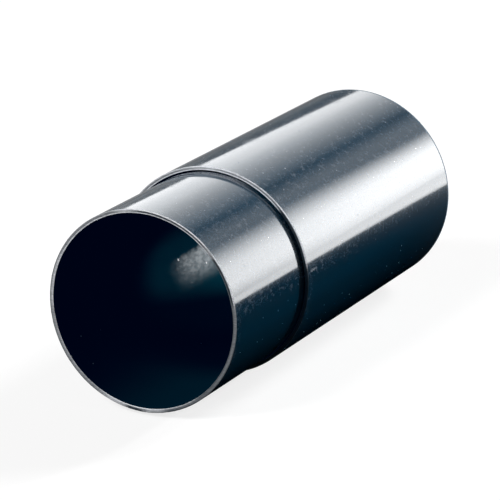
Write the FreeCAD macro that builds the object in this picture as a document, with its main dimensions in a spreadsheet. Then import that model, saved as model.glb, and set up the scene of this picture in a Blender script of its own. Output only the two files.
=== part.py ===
"""Telescopic wall sleeve: two black plastic tubes, the narrow one sliding in the wide one.

The sleeve lines a hole through a wall, for a duct or a fan. The wide outer tube is set in the
wall. The narrow inner tube is pulled out of its mouth until the two reach the wall's thickness.

Frame, in millimetres: the origin is on the outer tube's axis, halfway along it. Y runs along
both tubes, the inner tube comes out towards -Y, and +Z is up.
"""
import FreeCAD, Part
import Sketcher
import os

# Driving sizes, in millimetres. Clearances are radial.
SIZES = {
    "duct_bore": 100.0,
    "inner_wall": 2.0,
    "outer_wall": 2.0,
    "sliding_clearance": 0.7,
    "gap_under_inner": 0.3,
    "outer_length": 180.0,
    "inner_length": 180.0,
    "pulled_out": 75.0,
    "rim_bevel": 0.3,
}

# Sizes that follow from the driving ones, as expressions on the sheet's cells
INNER_OUTSIDE = "sizes.duct_bore + 2 * sizes.inner_wall"
OUTER_BORE = f"{INNER_OUTSIDE} + 2 * sizes.sliding_clearance"
OUTER_OUTSIDE = f"{OUTER_BORE} + 2 * sizes.outer_wall"
OUTER_BACK = "sizes.outer_length / 2"
INNER_BACK = "-sizes.outer_length / 2 - sizes.pulled_out + sizes.inner_length"
# The inner tube lies low in the outer one, with a small gap left under it.
INNER_DROP = "sizes.gap_under_inner - sizes.sliding_clearance"


def make_sheet(doc):
    """The sheet of driving sizes, one named cell each."""
    sheet = doc.addObject("Spreadsheet::Sheet", "sizes")
    for row, (name, value) in enumerate(SIZES.items(), start=1):
        sheet.set(f"A{row}", name)
        sheet.set(f"B{row}", str(value))
        sheet.setAlias(f"B{row}", name)
    doc.recompute()
    return sheet


def origin_plane(body, role):
    """One of the body's own origin planes."""
    return next(plane for plane in body.Origin.OriginFeatures if plane.Role == role)


def ring_sketch(body, outside, bore):
    """The tube's cross-section: two circles about the body's axis, sized by their bound diameters."""
    sketch = body.newObject("Sketcher::SketchObject", f"{body.Name}_section")
    sketch.AttachmentSupport = [(origin_plane(body, "XZ_Plane"), "")]
    sketch.MapMode = "FlatFace"
    origin, centre = (-1, 1), 3
    drawn_across = SIZES["duct_bore"]
    for name, diameter in (("outside", outside), ("bore", bore)):
        drawn = Part.Circle(FreeCAD.Vector(), FreeCAD.Vector(0, 0, 1), drawn_across / 2)
        circle = sketch.addGeometry(drawn)
        sketch.addConstraint(Sketcher.Constraint("Coincident", circle, centre, *origin))
        index = sketch.addConstraint(Sketcher.Constraint("Diameter", circle, drawn_across))
        sketch.renameConstraint(index, name)
        sketch.setExpression(f"Constraints.{name}", diameter)
    return sketch


def rim_edges(feature):
    """The names of the four round edges at the tube's two cut ends."""
    return [f"Edge{number}" for number, edge in enumerate(feature.Shape.Edges, start=1)
            if isinstance(edge.Curve, Part.Circle)]


def make_tube(doc, name, outside, bore, length):
    """A tube cut square at both ends, its rims lightly bevelled; it runs from y = 0 towards -Y."""
    body = doc.addObject("PartDesign::Body", name)
    body.Label = name
    pad = body.newObject("PartDesign::Pad", f"{name}_wall")
    pad.Profile = ring_sketch(body, outside, bore)
    pad.setExpression("Length", length)
    doc.recompute()
    bevel = body.newObject("PartDesign::Chamfer", f"{name}_rims")
    bevel.Base = (pad, rim_edges(pad))
    bevel.setExpression("Size", "sizes.rim_bevel")
    return body


def make_outer_tube(doc):
    """The wide tube that is set in the wall, centred on the origin."""
    body = make_tube(doc, "outer_tube", OUTER_OUTSIDE, OUTER_BORE, "sizes.outer_length")
    body.setExpression("Placement.Base.y", OUTER_BACK)
    return body


def make_inner_tube(doc):
    """The narrow tube that slides in the wide one, shown part of the way out."""
    body = make_tube(doc, "inner_tube", INNER_OUTSIDE, "sizes.duct_bore", "sizes.inner_length")
    body.setExpression("Placement.Base.y", INNER_BACK)
    body.setExpression("Placement.Base.z", INNER_DROP)
    return body


def check(doc, bodies):
    """Stops the build if an object failed or a tube isn't one sound solid."""
    for item in doc.Objects:
        if "Invalid" in item.State or "Error" in item.State:
            raise RuntimeError(f"{item.Label} failed: {item.State}")
    for body in bodies:
        shape = body.Shape
        if shape.isNull() or not shape.isValid() or len(shape.Solids) != 1:
            raise RuntimeError(f"{body.Label} is not one sound solid")


def main():
    doc = FreeCAD.newDocument("wall_sleeve")
    make_sheet(doc)
    bodies = [make_outer_tube(doc), make_inner_tube(doc)]
    doc.recompute()
    check(doc, bodies)
    os.makedirs("parts", exist_ok=True)
    for body in bodies:
        body.Shape.exportStep(f"parts/{body.Label}.step")
        box = body.Shape.BoundBox
        print(f"{body.Label}: x {box.XMin:.2f} to {box.XMax:.2f}, y {box.YMin:.2f} to {box.YMax:.2f},"
              f" z {box.ZMin:.2f} to {box.ZMax:.2f}, volume {body.Shape.Volume:.0f}")


main()
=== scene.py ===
"""The looks of a telescopic wall sleeve: two glossy black plastic tubes, one drawn out of the other.

Each tube is spun from its wall's section, with its sawn ends roughened, and gets a finish for its
glossy outside, its dull bore with painted light and a painted glow, and its pale cut rims with
painted highlights and shade. The stage has a pale floor, two soft lamps, a lamp that shines down
the bore, and a light tent with two softboxes over a dark card, which is seen only in the gloss.
Lengths are in metres, in the frame of the CAD model. A turn round a tube is in degrees: 0 on the
right, 90 at the top, 180 on the left and 270 at the bottom.
"""
import math
import bmesh
import bpy
from bpy.props import FloatProperty, FloatVectorProperty, IntProperty, PointerProperty
from mathutils import Matrix, Vector, noise


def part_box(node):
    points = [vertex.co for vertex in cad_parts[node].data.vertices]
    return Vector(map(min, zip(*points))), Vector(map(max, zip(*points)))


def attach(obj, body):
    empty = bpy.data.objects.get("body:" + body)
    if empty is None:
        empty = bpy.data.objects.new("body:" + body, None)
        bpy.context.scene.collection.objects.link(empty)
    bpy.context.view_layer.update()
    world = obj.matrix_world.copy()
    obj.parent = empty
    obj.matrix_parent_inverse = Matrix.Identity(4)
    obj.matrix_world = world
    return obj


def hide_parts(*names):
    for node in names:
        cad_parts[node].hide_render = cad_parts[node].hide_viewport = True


bl_info = {
    "name": "Wall sleeve",
    "version": (1, 0, 0),
    "blender": (4, 5, 0),
    "location": "3D View > Sidebar > Wall sleeve",
    "description": "Builds a telescopic wall sleeve of glossy black plastic, and its stage",
    "category": "Add Mesh",
}

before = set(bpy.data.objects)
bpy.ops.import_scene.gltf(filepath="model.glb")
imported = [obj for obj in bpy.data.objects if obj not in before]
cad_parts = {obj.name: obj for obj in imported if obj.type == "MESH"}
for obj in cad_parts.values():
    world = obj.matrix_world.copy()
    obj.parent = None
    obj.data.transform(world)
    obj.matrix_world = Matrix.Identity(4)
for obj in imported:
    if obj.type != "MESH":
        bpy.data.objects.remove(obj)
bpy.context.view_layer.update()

MM = 0.001
FULL_TURN = 360
DEGREES = FULL_TURN / math.tau


def cad_tube(node):
    """A CAD tube's axis height, radii and ends, to a hundredth of a millimetre."""
    low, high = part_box(node)
    height = (low.z + high.z) / 2
    reach = [math.hypot(v.co.x, v.co.z - height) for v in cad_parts[node].data.vertices]
    sizes = {"height": height, "outside": max(reach), "bore": min(reach),
             "front": low.y, "back": high.y}
    return {name: round(value, 5) for name, value in sizes.items()}


# Sizes and colours that a user would change

def length(name, description, default):
    return FloatProperty(name=name, description=description, default=default, unit="LENGTH",
                         precision=5)


def colour(name, description, default):
    return FloatVectorProperty(name=name, description=description, default=default,
                               subtype="COLOR", size=3, min=0, max=1)


def angle(name, description, degrees):
    return FloatProperty(name=name, description=description, default=math.radians(degrees),
                         subtype="ANGLE")


def brightness(name, description, default):
    return FloatProperty(name=name, description=description, default=default, min=0)


def tube_settings(node, label, lean):
    """The PropertyGroup of one tube's sizes, with the CAD model's own as defaults."""
    size = cad_tube(node)

    class TubeSizes(bpy.types.PropertyGroup):
        height: length("Axis height", f"Height of the {label}'s axis", size["height"])
        outside: length("Outside radius", f"Outside radius of the {label}", size["outside"])
        bore: length("Bore radius", f"Inside radius of the {label}", size["bore"])
        front: length("Front end", f"Place along Y of the {label}'s front rim", size["front"])
        back: length("Back end", f"Place along Y of the {label}'s back rim", size["back"])
        bevel: length("Rim bevel", f"Width of the bevel on the {label}'s rims", 0.3 * MM)
        burr: length("Burr", f"How far the saw's burr stands off the {label}'s front rim",
                     0.25 * MM)
        lip: length("Lip", f"How far the saw left the top of the {label}'s front rim leaning in",
                    lean)
        steps: IntProperty(name="Steps", description=f"Faces round the {label}", default=720,
                           min=64)

    TubeSizes.__name__ = f"SLEEVE_PG_{node}"
    return TubeSizes


OuterTubeSizes = tube_settings("outer_tube", "wide tube", 0.4 * MM)
InnerTubeSizes = tube_settings("inner_tube", "narrow tube", 0.0)


class SLEEVE_PG_finish(bpy.types.PropertyGroup):
    """Colours and gloss of the plastic."""
    plastic: colour("Plastic", "The black plastic's own colour, a very dark teal",
                    (0.001, 0.026, 0.052))
    cut: colour("Cut plastic", "Whitened plastic on the sawn rims", (0.80, 0.82, 0.86))
    dust: colour("Dust", "Specks of dust and swarf", (0.34, 0.36, 0.40))
    gloss: FloatProperty(name="Gloss roughness", description="Roughness of the clean outside",
                         default=0.05, min=0, max=1)


class SLEEVE_PG_stage(bpy.types.PropertyGroup):
    """Camera and lights."""
    azimuth: angle("Azimuth", "The camera's turn round the sleeve, from straight in front", 26.5155)
    elevation: angle("Elevation", "The camera's height above the horizon", 16.9171)
    distance: length("Distance", "From the camera to the aim point", 1.62404)
    aim: FloatVectorProperty(name="Aim point", description="The point that the camera looks at",
                             default=(0.000490, -0.047272, -0.000720), subtype="XYZ",
                             unit="LENGTH")
    lens: FloatProperty(name="Lens", description="Focal length in millimetres", default=223.906)
    right_light: brightness("Right light", "Level of the soft lamp behind on the right", 0.92)
    front_light: brightness("Front light", "Level of the soft lamp on the cut rims", 1.0)
    back_light: brightness("Back light", "Level of the lamp that shines down the bore", 12.0)
    ambient: brightness("Ambient", "Level of the light from all round", 0.07)
    left_box: brightness("Left softbox", "Brightness of the left softbox's reflection", 3.0)
    right_box: brightness("Right softbox", "Brightness of the right softbox's reflection", 10.0)


# Shader arithmetic

class Value:
    """A shader socket on which Python's arithmetic adds Math nodes."""

    def __init__(self, shader, socket):
        self.shader, self.socket = shader, socket

    def math(self, operation, *others, clamp=False):
        return self.shader.math(operation, self, *others, clamp=clamp)

    def __add__(self, other): return self.math("ADD", other)
    def __radd__(self, other): return self.math("ADD", other)
    def __sub__(self, other): return self.math("SUBTRACT", other)
    def __rsub__(self, other): return self.shader.math("SUBTRACT", other, self)
    def __mul__(self, other): return self.math("MULTIPLY", other)
    def __rmul__(self, other): return self.math("MULTIPLY", other)
    def __truediv__(self, other): return self.math("DIVIDE", other)
    def __rtruediv__(self, other): return self.shader.math("DIVIDE", other, self)
    def __pow__(self, other): return self.math("POWER", other)
    def __abs__(self): return self.math("ABSOLUTE")
    def __or__(self, other): return self.math("MAXIMUM", other)

    def clamp(self): return self.math("ADD", 0, clamp=True)


# A Mix node's colour sockets go by number, because those of its other types share their names.
MIX_FACTOR, MIX_LOW, MIX_HIGH, MIX_RESULT = 0, 6, 7, 2
# The smallest speck's size, as a share of the largest one's
SMALLEST_SPECK = 0.3


class Shader:
    """One node tree under construction: a material's, or the world's."""

    def __init__(self, owner):
        owner.use_nodes = True
        self.tree = owner.node_tree
        self.tree.nodes.clear()

    def node(self, kind, settings, sockets, output=0):
        """Adds a node: its settings, then its sockets' values or links. Gives the output named."""
        made = self.tree.nodes.new(f"ShaderNode{kind}")
        for name, value in settings.items():
            if name == "stops":
                ramp = made.color_ramp.elements
                while len(ramp) < len(value):
                    ramp.new(1)
                for stop, (turn, *levels) in zip(ramp, value):
                    stop.position, stop.color = turn / FULL_TURN, (*levels, 1)
            else:
                setattr(made, name, value)
        for name, value in sockets.items():
            if isinstance(value, Value):
                self.tree.links.new(value.socket, made.inputs[name])
            else:
                made.inputs[name].default_value = value
        if not len(made.outputs):
            return None
        if isinstance(output, tuple):
            return [Value(self, made.outputs[name]) for name in output]
        return Value(self, made.outputs[output])

    def math(self, operation, *values, clamp=False):
        return self.node("Math", {"operation": operation, "use_clamp": clamp},
                         dict(enumerate(values)))

    def mix(self, factor, low, high):
        """A colour between low and high."""
        low, high = [(*c, 1) if isinstance(c, tuple) else c for c in (low, high)]
        return self.node("Mix", {"data_type": "RGBA"},
                         {MIX_FACTOR: factor, MIX_LOW: low, MIX_HIGH: high}, output=MIX_RESULT)

    def ranged(self, kind, value, start, end, low, high):
        return self.node("MapRange", {"interpolation_type": kind, "clamp": True},
                         {"Value": value, "From Min": start, "From Max": end,
                          "To Min": low, "To Max": high})

    def fade(self, value, start, end, low=0.0, high=1.0):
        """Eases from low to high as value goes from start to end."""
        return self.ranged("SMOOTHSTEP", value, start, end, low, high)

    def slope(self, value, start, end, low=0.0, high=1.0):
        """Goes straight from low to high as value goes from start to end, and no further."""
        return self.ranged("LINEAR", value, start, end, low, high)

    def noise(self, place, scale, detail=2.0, roughness=0.5):
        return self.node("TexNoise", {}, {"Vector": place, "Scale": scale, "Detail": detail,
                                          "Roughness": roughness}, output="Fac")

    def specks(self, place, spacing, size, share):
        """Round specks of up to that size, one in each cell of that spacing, in a share of them."""
        near, tint = self.node("TexVoronoi", {}, {"Vector": place, "Scale": 1 / spacing},
                               output=("Distance", "Color"))
        number = self.node("SeparateColor", {}, {"Color": tint})
        kept = self.math("LESS_THAN", number, share)
        edge = number / share * (1 - SMALLEST_SPECK) + SMALLEST_SPECK
        return kept * self.fade(near / edge, size / spacing, 0.5 * size / spacing)

    def stretched(self, place, along=1.0, upright=1.0):
        """Object coordinates scaled along the tube and upwards, to stretch or squeeze a pattern."""
        return self.node("Mapping", {}, {"Vector": place, "Scale": (1.0, along, upright)})

    def principled(self, sockets):
        return self.node("BsdfPrincipled", {}, sockets)

    def bump(self, height, strength, depth):
        return self.node("Bump", {}, {"Height": height, "Strength": strength, "Distance": depth})

    def finish(self, surface):
        self.node("OutputMaterial", {}, {"Surface": surface})


# Finishes

PLASTIC_IOR = 1.5
BLACK = (0.0, 0.0, 0.0)


def tube_place(s, size):
    """Object coordinates centred on the tube's axis, as a vector and apart, and the turn."""
    place = s.node("TexCoord", {}, {}, output="Object")
    place = s.node("Mapping", {}, {"Vector": place, "Location": (0, 0, -size.height)})
    x, y, z = s.node("SeparateXYZ", {}, {"Vector": place}, output=("X", "Y", "Z"))
    turn = s.math("ARCTAN2", z, x) * DEGREES
    turn = turn + FULL_TURN * s.math("LESS_THAN", turn, 0)
    return place, (x, y, z), turn


# The ring of dust starts and is full this far in front of the wide tube's rim, and ends behind it.
DUST_STARTS, DUST_FULL, DUST_ENDS = 4.0 * MM, 3.0 * MM, 1.5 * MM
DUST_RIGHT, DUST_LEFT = (58, 80), (128, 112)


def pushed_dust(s, rim, place, y, turn, fine):
    """Dust on the narrow tube's top, in a thin ring where the wide tube's rim pushed it up."""
    wavy = y + 1.6 * MM * (s.noise(place, 130, detail=3) - 0.5)
    ring = (s.fade(wavy, rim - DUST_STARTS, rim - DUST_FULL) * s.fade(wavy, rim + DUST_ENDS, rim)
            * s.fade(turn, *DUST_RIGHT) * s.fade(turn, *DUST_LEFT))
    return ring * (0.40 + 0.35 * s.fade(fine, 0.40, 0.62))


# The knock's turn, its distance behind the rim, and its slant in degrees to the metre
KNOCK_TURN, KNOCK_IN, KNOCK_SLANT = 7, 7 * MM, 40


def knock(s, rim, place, y, turn, fine):
    """A short pale scrape on the wide tube's right, near its front rim."""
    ragged = s.noise(s.stretched(place, along=0.4), 1100, detail=3)
    across = abs(turn - KNOCK_TURN + 4 * (ragged - 0.5) + (y - rim) * KNOCK_SLANT)
    along = abs(y - rim - KNOCK_IN + 3 * MM * (fine - 0.5))
    return (s.fade(across, 1.0, 0.2) * s.fade(along, 5 * MM, 2 * MM)
            * s.fade(ragged, 0.35, 0.65, 0.15, 0.5))


MARKS = {"outer_tube": knock, "inner_tube": pushed_dust}

# How far handling reaches in from the front and back ends, and where the back end turns dull
HANDLED_FRONT, HANDLED_BACK = 9 * MM, 6 * MM
DULL_STARTS, DULL_FULL = 1.5 * MM, 0.9 * MM
# The heights between which the haze thickens, and its share below them, so the tubes are paler
# above the axis than below it
HAZE_FOOT, HAZE_TOP, HAZE_BELOW = -4 * MM, 6 * MM, 0.12
# How dark the plastic is in its darker streaks
STREAK_SHADE = 0.82


def gloss_outside(name, size, finish, mark, rim):
    """Extruded black plastic: glossy, with drawn streaks, dust, pits, and the tube's own mark."""
    material = bpy.data.materials.new(name)
    s = Shader(material)
    place, (_, y, z), turn = tube_place(s, size)
    drawn = s.noise(s.stretched(place, along=0.02), 900, detail=3)
    broad = s.noise(s.stretched(place, along=0.05), 90, detail=2)
    cloud = s.noise(place, 38, detail=4, roughness=0.6)
    grit = s.noise(s.stretched(place, along=0.8), 1500, detail=2, roughness=0.7)
    fine = s.noise(s.stretched(place, along=0.25), 2600, detail=2)
    mottle = s.noise(s.stretched(place, along=0.7), 420, detail=4, roughness=0.7)
    dust = s.specks(place, 4.0 * MM, 0.42 * MM, 0.40) | s.specks(place, 11.0 * MM, 0.75 * MM, 0.30)
    pits = s.specks(place, 5.5 * MM, 0.5 * MM, 0.45)
    film = s.fade(cloud, 0.45, 0.75)
    near_rim = (s.fade(y, size.front + HANDLED_FRONT, size.front)
                | s.fade(y, size.back - HANDLED_BACK, size.back))
    handled = near_rim * s.fade(fine, 0.55, 0.72) * 0.30
    haze_by_height = s.fade(z, HAZE_FOOT, HAZE_TOP, HAZE_BELOW, 1.0)
    haze = haze_by_height * (s.fade(grit, 0.52, 0.72) * (0.08 + 0.10 * film)
                      + s.fade(mottle, 0.50, 0.72) * 0.14)
    pale = (dust * 0.8) | handled | haze | mark(s, rim, place, y, turn, fine)
    shaded = tuple(c * STREAK_SHADE for c in finish.plastic)
    tinted = s.mix(s.fade(broad, 0.35, 0.65), shaded, tuple(finish.plastic))
    base = s.mix(pale, tinted, tuple(finish.dust))
    dulled = s.fade(y, size.back - DULL_STARTS, size.back - DULL_FULL)
    rough = finish.gloss + drawn * 0.035 + film * 0.04 + pale * 0.45 + pits * 0.5 + dulled * 0.7
    ripple = s.bump(drawn * 0.4 + broad * 0.6 + grit * 0.3 + dust * 0.8 - pits * 1.2,
                    0.10, 0.05 * MM)
    s.finish(s.principled({"Base Color": base, "Roughness": rough, "IOR": PLASTIC_IOR,
                           "Normal": ripple}))
    return material


# The scuffed patch in the bore: the turns at its upper and lower edges, the places along Y at its
# front end, and those between which it grows brighter inwards
PATCH_TOP, PATCH_FOOT = (195, 199.5), (220, 204)
PATCH_FRONT, PATCH_BRIGHTENS = (-51 * MM, -27 * MM), (-42 * MM, -8 * MM)
# Painted teal light round it, given in the same way. Its lower edge slants, in degrees to the metre,
# about a place this far in front of the origin.
PAINTED_LIGHT_TOP, PAINTED_LIGHT_FOOT, PAINTED_LIGHT_FRONT = (174, 191), (229, 211), (-96 * MM, -56 * MM)
PAINTED_LIGHT_SLANT, PAINTED_LIGHT_SLANT_AHEAD = 280, 36 * MM
# Fainter painted teal light low down near the mouth
LOW_PAINTED_LIGHT_TOP, LOW_PAINTED_LIGHT_BACK = (225, 275), (-85 * MM, -125 * MM)
# Pale chips at the scuffed patch: place along Y, turn and radius
CHIPS = ((-36.5 * MM, 197.8, 0.9 * MM), (-10.7 * MM, 208.0, 0.7 * MM))
# A painted navy glow that the bore keeps where no light reaches
PAINTED_GLOW_COLOUR, PAINTED_GLOW_LEVEL = (0.0, 0.13, 1.0, 1), 0.007
SCUFF_TINT = (0.82, 0.94, 1.0, 1)


def scuffed_bore(name, size, finish):
    """The inside: dull navy, made near-black by painted shade and kept navy by a painted glow, with
    a shiny scuffed patch deep in on its left, and painted teal light round it and low near the
    mouth.
    """
    material = bpy.data.materials.new(name)
    s = Shader(material)
    place, (_, y, _), turn = tube_place(s, size)
    drawn = s.noise(s.stretched(place, along=0.03), 700, detail=3)
    scrape = s.noise(s.stretched(place, along=0.40), 430, detail=3, roughness=0.7)
    wander = s.noise(place, 150, detail=3, roughness=0.7) - 0.5
    dust = s.specks(place, 9.0 * MM, 0.7 * MM, 0.30)
    around, along = turn + 5 * wander, y + 14 * MM * wander
    patch = (s.fade(around, *PATCH_TOP) * s.fade(around, *PATCH_FOOT)
             * s.fade(along, *PATCH_FRONT) * s.slope(y, *PATCH_BRIGHTENS, 0.45, 1.0))
    painted_light_near_patch = (s.fade(turn, *PAINTED_LIGHT_TOP)
                  * s.fade(turn - (y + PAINTED_LIGHT_SLANT_AHEAD) * PAINTED_LIGHT_SLANT, *PAINTED_LIGHT_FOOT)
                  * s.fade(y, *PAINTED_LIGHT_FRONT))
    painted_light_low_down = s.fade(turn, *LOW_PAINTED_LIGHT_TOP) * s.fade(y, *LOW_PAINTED_LIGHT_BACK)
    # Painted shade: near black, but for painted light round the patch and low near the mouth
    clean = 0.06 + 0.94 * painted_light_near_patch + 0.35 * painted_light_low_down
    red, green, blue = finish.plastic
    base = s.mix(clean, BLACK, (red, green, 0.7 * blue))
    base = s.mix(dust * 0.35, base, tuple(finish.dust))
    for chip_y, chip_turn, radius in CHIPS:
        aside = (turn - chip_turn) * (size.bore * math.tau / FULL_TURN)
        away = s.math("SQRT", (y - chip_y) * (y - chip_y) + aside * aside)
        base = s.mix(s.fade(away, radius, 0.5 * radius), base, tuple(finish.cut))
    shared = {"Base Color": base, "Normal": s.bump(scrape * 0.6 + drawn * 0.4, 0.2, 0.05 * MM),
              "Emission Color": PAINTED_GLOW_COLOUR, "Emission Strength": PAINTED_GLOW_LEVEL}
    plain = s.principled({"Roughness": 0.6, "Specular IOR Level": 0.0, **shared})
    worn_with_painted_light = s.principled({"Roughness": 0.16 + 0.1 * scrape, "IOR": PLASTIC_IOR,
                         "Specular IOR Level": 0.15, "Specular Tint": SCUFF_TINT, **shared})
    shine = (patch * (0.55 + 0.50 * s.fade(scrape, 0.42, 0.58))).clamp()
    s.finish(s.node("MixShader", {}, {0: shine, 1: plain, 2: worn_with_painted_light}))
    return material


# How white the saw left each front rim, by the turn: at its inner edge, middle and outer edge. With
# the whitening are painted highlights on the edges and painted shade on the right and below, which
# on the wide tube is the narrow one's painted shadow.
MOUTH_WEAR_AND_LIGHT = (
    (0, 0.10, 0.22, 0.26), (10, 0.10, 0.20, 0.24), (14, 0.12, 0.00, 0.95),
    (38, 0.12, 0.00, 0.95), (43, 0.50, 0.30, 0.40), (50, 0.85, 0.02, 0.85),
    (90, 0.90, 0.05, 0.90), (100, 0.95, 0.60, 0.70), (108, 1.00, 0.20, 0.30),
    (148, 1.00, 0.25, 0.22), (156, 0.85, 0.50, 0.10), (180, 0.80, 0.45, 0.10),
    (188, 0.42, 0.30, 0.10), (240, 0.38, 0.25, 0.12), (248, 0.70, 0.55, 0.60),
    (257, 0.75, 0.60, 0.60), (261, 0.75, 0.02, 0.00), (269, 0.75, 0.10, 0.02),
    (273, 0.75, 0.50, 0.50), (281, 0.65, 0.45, 0.30), (287, 0.42, 0.12, 0.00),
    (303, 0.38, 0.18, 0.04), (308, 0.13, 0.14, 0.13), (335, 0.10, 0.20, 0.22),
)
STEP_WEAR_AND_LIGHT = (
    (0, 0.00, 0.00, 0.00), (8, 0.00, 0.00, 0.00), (13, 0.00, 0.00, 0.95),
    (42, 0.00, 0.00, 0.95), (48, 1.00, 0.15, 0.70), (84, 1.00, 0.30, 0.85),
    (90, 1.00, 0.55, 0.95), (99, 1.00, 0.45, 0.90), (106, 1.00, 0.25, 0.60),
    (130, 0.95, 0.25, 0.55), (180, 0.70, 0.40, 0.20), (260, 0.40, 0.30, 0.15),
    (290, 0.10, 0.05, 0.00), (300, 0.00, 0.00, 0.00),
)
RIM_WEAR_AND_LIGHT = {"outer_tube": STEP_WEAR_AND_LIGHT, "inner_tube": MOUTH_WEAR_AND_LIGHT}
# How white the back rims are, which the photo doesn't show
BACK_WEAR = 0.4


def sawn_rim(name, size, finish, wear_and_light):
    """A sawn end: black plastic that the saw's teeth whitened, most at the edges, with painted
    highlights and painted shade on the front rims.
    """
    material = bpy.data.materials.new(name)
    s = Shader(material)
    place, (x, y, z), turn = tube_place(s, size)
    depth = (s.math("SQRT", x * x + z * z) - size.bore) / (size.outside - size.bore)
    teeth = s.noise(s.stretched(place, upright=6), 420, detail=3, roughness=0.7)
    nicks = s.noise(place, 900, detail=2, roughness=0.6)
    flake = s.specks(place, 2.4 * MM, 0.45 * MM, 0.35)
    ragged_turn = (turn + 5 * (teeth - 0.5)) / FULL_TURN
    # The table's levels hold the saw's whitening with painted highlights and painted shade
    levels = s.node("ValToRGB", {"stops": wear_and_light}, {0: ragged_turn}, output="Color")
    inner, middle, outer = s.node("SeparateColor", {}, {"Color": levels},
                                  output=("Red", "Green", "Blue"))
    rough_depth = depth + 0.16 * (nicks - 0.5)
    into_middle, into_outer = s.fade(rough_depth, 0.22, 0.34), s.fade(rough_depth, 0.66, 0.78)
    worn_with_painted_light = inner * (1 - into_middle) + middle * (into_middle - into_outer) + outer * into_outer
    at_front = s.math("LESS_THAN", y, (size.front + size.back) / 2)
    worn_with_painted_light = worn_with_painted_light * at_front + BACK_WEAR * (1 - into_outer) * (1 - at_front)
    pale = (worn_with_painted_light * (0.72 + 0.5 * s.fade(teeth, 0.35, 0.65)) + flake * 0.15).clamp()
    base = s.mix(pale, tuple(0.3 * c + 0.002 for c in finish.plastic), tuple(finish.cut))
    grain = s.bump(teeth + flake * 0.5, 0.35, 0.08 * MM)
    s.finish(s.principled({"Base Color": base, "Roughness": 0.30 + 0.35 * pale,
                           "IOR": PLASTIC_IOR, "Normal": grain}))
    return material


# Tubes

OUTSIDE, BORE, RIM = 0, 1, 2
RIM_CUTS = 3
# Rows this many bevels in from the ends keep the bevels from bending the long walls' shading.
ROW_IN = 3
# Lengths below which two places, or two radii, count as the same
SAME_PLACE, SAME_RADIUS = 1e-6, 1e-5

# The lip: the turns at its two ends, and how many degrees it takes to rise
LIP_FROM, LIP_TO, LIP_RISE = 18, 100, 20
# The long flake in the burr: its middle, and how many degrees it reaches to each side
FLAKE_TURN, FLAKE_REACH = 273, 13
# How deep the saw marks are on average, in millimetres
SAW_DEPTH = 0.03


def finished_mesh(bm, name):
    """Turns a bmesh into a mesh of that name."""
    mesh = bpy.data.meshes.new(name)
    bm.to_mesh(mesh)
    bm.free()
    return mesh


def add_object(context, name, data):
    """Puts a mesh, a lamp or a camera in the scene."""
    made = bpy.data.objects.new(name, data)
    context.scene.collection.objects.link(made)
    return made


def rim_noise(angle_round, scale):
    """Noise round a rim, from -1 to 1, at that angle in radians."""
    return noise.noise(Vector((math.cos(angle_round), math.sin(angle_round), 0)) * scale)


def lip_at(angle_round):
    """How far the inner edge leans in at that angle, from 0 to 1: only at the top right."""
    turn = math.degrees(angle_round) % FULL_TURN
    rise = min(1.0, max(0.0, min(turn - LIP_FROM, LIP_TO - turn) / LIP_RISE))
    return rise * (0.85 + 0.3 * rim_noise(angle_round, 14.0))


def burr_at(angle_round):
    """How thick the burr is at that angle, from 0 to 1: small nicks, and one long flake below."""
    nicks = max(0.0, rim_noise(angle_round, 24.0) - 0.12) * 1.1
    turn = math.degrees(angle_round) % FULL_TURN
    flake = max(0.0, 1 - abs(turn - FLAKE_TURN) / FLAKE_REACH)
    return min(1.0, nicks + flake * (0.8 + 0.4 * rim_noise(angle_round, 60.0)))


def spin_tube(name, size):
    """A tube's mesh: the wall's section spun about the axis, its rims bevelled and roughened."""
    bm = bmesh.new()
    axis = Vector((0, 0, size.height))
    ends = (size.front, size.front + ROW_IN * size.bevel,
            size.back - ROW_IN * size.bevel, size.back)
    section = [bm.verts.new(axis + Vector((r, y, 0)))
               for r, row in ((size.bore, ends), (size.outside, ends[::-1])) for y in row]
    sides = [bm.edges.new((section[i - 1], section[i])) for i in range(len(section))]
    bmesh.ops.subdivide_edges(bm, edges=[sides[0], sides[len(ends)]], cuts=RIM_CUTS)
    bmesh.ops.spin(bm, geom=bm.verts[:] + bm.edges[:], cent=axis, axis=(0, 1, 0), dvec=(0, 0, 0),
                   angle=math.tau, steps=size.steps, use_merge=True, use_duplicate=False)
    bmesh.ops.remove_doubles(bm, verts=bm.verts[:], dist=SAME_PLACE)

    def reach(v):
        return math.hypot(v.co.x, v.co.z - size.height)

    def in_ring(edge):
        """Whether the edge runs round the bore or the outside, at an end or at a row near it."""
        one, other = [reach(v) for v in edge.verts]
        level = abs(edge.verts[0].co.y - edge.verts[1].co.y) < SAME_PLACE
        on_wall = all(min(abs(r - size.bore), abs(r - size.outside)) < SAME_RADIUS
                      for r in (one, other))
        return level and on_wall and abs(one - other) < SAME_RADIUS

    bmesh.ops.bevel(bm, geom=[e for e in bm.edges if in_ring(e)], offset=size.bevel,
                    offset_type="OFFSET", segments=2, profile=0.5, affect="EDGES", material=-1)
    bmesh.ops.recalc_face_normals(bm, faces=bm.faces[:])
    for face in bm.faces:
        face.smooth = True
        middle = face.calc_center_median()
        if min(middle.y - size.front, size.back - middle.y) < size.bevel * 1.01:
            face.material_index = RIM
        elif math.hypot(middle.x, middle.z - size.height) > (size.bore + size.outside) / 2:
            face.material_index = OUTSIDE
        else:
            face.material_index = BORE
    roughen_rims(bm, size, reach)
    return finished_mesh(bm, name)


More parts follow.
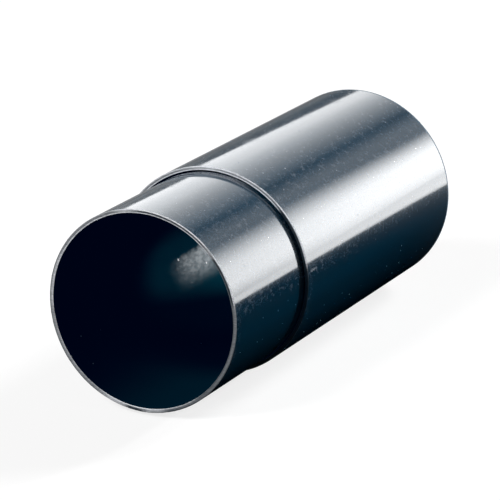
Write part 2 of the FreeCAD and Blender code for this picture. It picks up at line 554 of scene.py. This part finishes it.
def roughen_rims(bm, size, reach):
    """Sinks saw marks into the end faces, and gives the front rim its burr and its lip."""
    for v in bm.verts:
        into = min(v.co.y - size.front, size.back - v.co.y)
        if into > size.bevel * 1.2:
            continue
        at_front = v.co.y < (size.front + size.back) / 2
        angle_round = math.atan2(v.co.z - size.height, v.co.x)
        marks = noise.noise(Vector((v.co.x * 500, at_front * 9.0, v.co.z * 2600)))
        if size.bore + size.bevel * 0.5 < reach(v) < size.outside - size.bevel * 0.5:
            v.co.y += (SAW_DEPTH + SAW_DEPTH * marks) * MM * (1 if at_front else -1)
        elif at_front:
            out = Vector((math.cos(angle_round), 0, math.sin(angle_round)))
            near = max(0.0, 1 - into / size.bevel)
            if reach(v) > (size.bore + size.outside) / 2:
                v.co += out * (size.burr * burr_at(angle_round) * near)
            else:
                v.co -= out * (size.lip * lip_at(angle_round) * near)


def add_tube(context, node, size):
    """Makes one tube with its three finishes, in place of its CAD node and on its body."""
    finish, rim = context.scene.sleeve_finish, context.scene.sleeve_outer_tube.front
    mesh = spin_tube(f"{node}_wall", size)
    # In the order that OUTSIDE, BORE and RIM give
    mesh.materials.append(gloss_outside(f"{node}_gloss", size, finish, MARKS[node], rim))
    mesh.materials.append(scuffed_bore(f"{node}_bore", size, finish))
    mesh.materials.append(sawn_rim(f"{node}_cut_rim", size, finish, RIM_WEAR_AND_LIGHT[node]))
    tube = add_object(context, f"{node}_wall", mesh)
    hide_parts(node)
    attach(tube, node)


# Stage

WHITE = (1, 1, 1)
FLOOR_HALF = 5.0
# The floor's colour to diffuse light, and how much of its white is its own glow
FLOOR_COLOUR, FLOOR_GLOW = (0.05, 0.05, 0.055), 0.78
TENT_RADIUS, TENT_HALF_LENGTH, TENT_STEPS = 1.0, 2.6, 90
CARD_LIFT = 0.4 * MM

# The directions that the lamps shine from, and the soft ones' spreads in degrees
RIGHT_FROM, RIGHT_SPREAD = (0.34, 0.75, 0.57), 18
FRONT_FROM, FRONT_SPREAD = (-0.30, -0.72, 0.62), 20
BACK_FROM = (0.427, 0.856, 0.291)
# The back lamp's distance from the sleeve, its radius and the soft share of its cone
BACK_AWAY, BACK_RADIUS, BACK_BLEND = 1.2, 0.2, 0.3
SENSOR_WIDTH = 36


def seen_directly(s):
    """1 for camera, glossy and transmission rays, and 0 for the rays that carry diffuse light."""
    camera, glossy, through = s.node("LightPath", {}, {}, output=(
        "Is Camera Ray", "Is Glossy Ray", "Is Transmission Ray"))
    return camera | glossy | through


def make_world(context, stage):
    """A background that is white to look at, and gives weak light from all round."""
    world = bpy.data.worlds.new("studio")
    context.scene.world = world
    s = Shader(world)
    direct = seen_directly(s)
    level = direct + (1 - direct) * stage.ambient
    background = s.node("Background", {}, {"Color": (*WHITE, 1), "Strength": level})
    s.node("OutputWorld", {}, {"Surface": background})
    world.cycles.sampling_method = "NONE"


def make_floor(context, size):
    """A pale floor under the wide tube, white to look at, that keeps the sleeve's shadow."""
    bm = bmesh.new()
    bmesh.ops.create_grid(bm, x_segments=1, y_segments=1, size=FLOOR_HALF,
                          matrix=Matrix.Translation((0, 0, size.height - size.outside)))
    mesh = finished_mesh(bm, "floor")
    material = bpy.data.materials.new("floor")
    s = Shader(material)
    direct = seen_directly(s)
    own = s.node("Emission", {}, {"Color": (*WHITE, 1), "Strength": 1.0})
    lit = s.node("BsdfDiffuse", {}, {"Color": s.mix(direct, FLOOR_COLOUR, WHITE)})
    s.finish(s.node("MixShader", {}, {0: direct * FLOOR_GLOW, 1: lit, 2: own}))
    mesh.materials.append(material)
    floor = add_object(context, "floor", mesh)


def tent_light(s, stage, turn, y):
    """The light tent's brightness at a turn about the sleeve's axis and a place along it."""
    left_edge = s.slope(y, 1.33, 1.87, 167.4, 145.6)
    left = (s.slope(turn, 80, 132, 0.07, 1.0) * s.fade(turn, left_edge + 0.8, left_edge - 0.8)
            * s.fade(turn, 66, 80))
    upper = s.slope(y, 1.50, 1.80, 63, 56)
    right = (s.fade(turn, upper, 24) * s.fade(turn, -14, 14, s.slope(y, 1.35, 1.60, 0.25, 0.6), 1.0)
             * s.slope(y, 1.25, 1.65, 0.8, 1.0))
    skirt = s.fade(turn, 82, 62) * 0.10
    # Dim light beyond the left softbox's lower edge
    dim = (s.fade(turn, left_edge - 2, left_edge + 2) * s.slope(turn, 164, 176, 0.6, 1.0)
           * s.slope(y, 1.3, 1.6, 0.40, 0.25))
    return left * stage.left_box + (right | skirt) * stage.right_box + dim


def card_light(s, x, y):
    """The card's brightness: lit beyond its dark part, with a weak sheen towards that edge."""
    beyond = y + 0.2 * x
    lit = (6.3 * s.fade(beyond, 0.465, 0.485) * s.slope(beyond, 0.485, 0.56, 0.65, 1.0)
           * s.fade(x, 0.02, 0.12))
    sheen = (0.7 * s.slope(y, 0.08, 0.42) ** 2.5 * s.fade(x, 0.0, 0.05)
             + s.fade(x, 0.0, -0.1) * s.slope(y, 0.75, 1.05, 0.32, 0.17))
    return lit | sheen


def softbox_light(size, stage):
    """The glow of the light tent with its two softboxes, and of the dark card under them."""
    material = bpy.data.materials.new("softboxes")
    s = Shader(material)
    place = s.node("TexCoord", {}, {}, output="Object")
    x, y, z = s.node("SeparateXYZ", {}, {"Vector": place}, output=("X", "Y", "Z"))
    turn = s.math("ARCTAN2", z, x) * DEGREES
    # From -90 straight down on the right, over the top, to 270 on the left
    turn = turn + FULL_TURN * s.math("LESS_THAN", turn, -90)
    on_card = s.math("LESS_THAN", z, size.height - size.outside + 2 * CARD_LIFT)
    level = tent_light(s, stage, turn, y) * (1 - on_card) + card_light(s, x, y) * on_card
    s.finish(s.node("Emission", {}, {"Color": (*WHITE, 1), "Strength": level}))
    material.cycles.emission_sampling = "NONE"
    return material


def make_softboxes(context, size, stage):
    """The light tent round the sleeve and the card on its floor, seen only in the gloss."""
    bm = bmesh.new()
    floor = size.height - size.outside
    ends = [bm.verts.new((TENT_RADIUS, y, floor)) for y in (-TENT_HALF_LENGTH, TENT_HALF_LENGTH)]
    side = bm.edges.new(ends)
    bmesh.ops.spin(bm, geom=[*ends, side], cent=(0, 0, floor), axis=(0, -1, 0), dvec=(0, 0, 0),
                   angle=math.pi, steps=TENT_STEPS, use_merge=False, use_duplicate=False)
    card = (Matrix.Translation((0, 0, floor + CARD_LIFT))
            @ Matrix.Diagonal((TENT_RADIUS, TENT_HALF_LENGTH, 1, 1)))
    bmesh.ops.create_grid(bm, x_segments=8, y_segments=20, size=1, matrix=card)
    mesh = finished_mesh(bm, "softboxes")
    mesh.materials.append(softbox_light(size, stage))
    boxes = add_object(context, "softboxes", mesh)
    boxes.visible_camera = boxes.visible_diffuse = boxes.visible_transmission = False
    boxes.visible_shadow = boxes.visible_volume_scatter = False


def add_lamp(context, lamp, towards):
    """Puts a lamp in the scene, shining from that direction and unseen in the gloss."""
    light = add_object(context, lamp.name, lamp)
    light.rotation_mode = "QUATERNION"
    light.rotation_quaternion = Vector(towards).to_track_quat("Z", "Y")
    light.visible_glossy = False
    return light


def make_soft_light(context, name, towards, level, spread):
    """Soft light from one side. A white face square to it shows that level."""
    lamp = bpy.data.lights.new(name, "SUN")
    lamp.energy = level * math.pi
    lamp.angle = math.radians(spread)
    add_lamp(context, lamp, towards)


def make_back_light(context, size, stage):
    """A lamp behind the sleeve on the right, that shines down its bore and on little else."""
    lamp = bpy.data.lights.new("back_light", "SPOT")
    lamp.energy = stage.back_light * 4 * math.pi ** 2 * BACK_AWAY ** 2
    lamp.spot_size = 2 * math.atan(size.outside / BACK_AWAY)
    lamp.spot_blend = BACK_BLEND
    lamp.shadow_soft_size = BACK_RADIUS
    light = add_lamp(context, lamp, BACK_FROM)
    back_end = Vector((0, size.back, size.height))
    light.location = back_end + Vector(BACK_FROM).normalized() * BACK_AWAY


def make_camera(context, stage):
    """A long lens at the photograph's angle."""
    lens = bpy.data.cameras.new("camera")
    lens.sensor_width = SENSOR_WIDTH
    lens.lens = stage.lens
    camera = add_object(context, "camera", lens)
    back = Vector((math.sin(stage.azimuth) * math.cos(stage.elevation),
                   -math.cos(stage.azimuth) * math.cos(stage.elevation),
                   math.sin(stage.elevation)))
    camera.location = Vector(stage.aim) + back * stage.distance
    camera.rotation_mode = "QUATERNION"
    camera.rotation_quaternion = (-back).to_track_quat("-Z", "Y")
    context.scene.camera = camera


# Operators and panel

class SLEEVE_OT_outer_tube(bpy.types.Operator):
    """Builds the wide tube that is set in the wall."""
    bl_idname = "sleeve.outer_tube"
    bl_label = "Wide tube"

    def execute(self, context):
        add_tube(context, "outer_tube", context.scene.sleeve_outer_tube)
        return {"FINISHED"}


class SLEEVE_OT_inner_tube(bpy.types.Operator):
    """Builds the narrow tube that slides in the wide one."""
    bl_idname = "sleeve.inner_tube"
    bl_label = "Narrow tube"

    def execute(self, context):
        add_tube(context, "inner_tube", context.scene.sleeve_inner_tube)
        return {"FINISHED"}


class SLEEVE_OT_stage(bpy.types.Operator):
    """Sets up the floor, the light tent, the lamps and the camera."""
    bl_idname = "sleeve.stage"
    bl_label = "Stage"

    def execute(self, context):
        stage, wide = context.scene.sleeve_stage, context.scene.sleeve_outer_tube
        make_world(context, stage)
        make_floor(context, wide)
        make_softboxes(context, wide, stage)
        make_soft_light(context, "right_light", RIGHT_FROM, stage.right_light, RIGHT_SPREAD)
        make_soft_light(context, "front_light", FRONT_FROM, stage.front_light, FRONT_SPREAD)
        make_back_light(context, wide, stage)
        make_camera(context, stage)
        context.scene.view_settings.view_transform = "Standard"
        return {"FINISHED"}


class SLEEVE_PT_panel(bpy.types.Panel):
    """Lists the sleeve's pieces and settings."""
    bl_idname = "SLEEVE_PT_panel"
    bl_label = "Wall sleeve"
    bl_space_type = "VIEW_3D"
    bl_region_type = "UI"
    bl_category = "Wall sleeve"

    def draw(self, context):
        for operator in OPERATORS:
            self.layout.operator(operator.bl_idname)
        for group in SETTINGS:
            box = self.layout.box()
            owner = getattr(context.scene, group)
            for name in owner.bl_rna.properties.keys():
                if name not in ("rna_type", "name"):
                    box.prop(owner, name)


SETTINGS = {
    "sleeve_outer_tube": OuterTubeSizes,
    "sleeve_inner_tube": InnerTubeSizes,
    "sleeve_finish": SLEEVE_PG_finish,
    "sleeve_stage": SLEEVE_PG_stage,
}
OPERATORS = (SLEEVE_OT_stage, SLEEVE_OT_outer_tube, SLEEVE_OT_inner_tube)
CLASSES = (*SETTINGS.values(), *OPERATORS, SLEEVE_PT_panel)


def register():
    for cls in CLASSES:
        bpy.utils.register_class(cls)
    for name, group in SETTINGS.items():
        setattr(bpy.types.Scene, name, PointerProperty(type=group))


def unregister():
    for name in SETTINGS:
        delattr(bpy.types.Scene, name)
    for cls in reversed(CLASSES):
        bpy.utils.unregister_class(cls)


def main():
    register()
    bpy.ops.sleeve.stage()
    bpy.ops.sleeve.outer_tube()
    bpy.ops.sleeve.inner_tube()


if __name__ == "__main__":
    main()
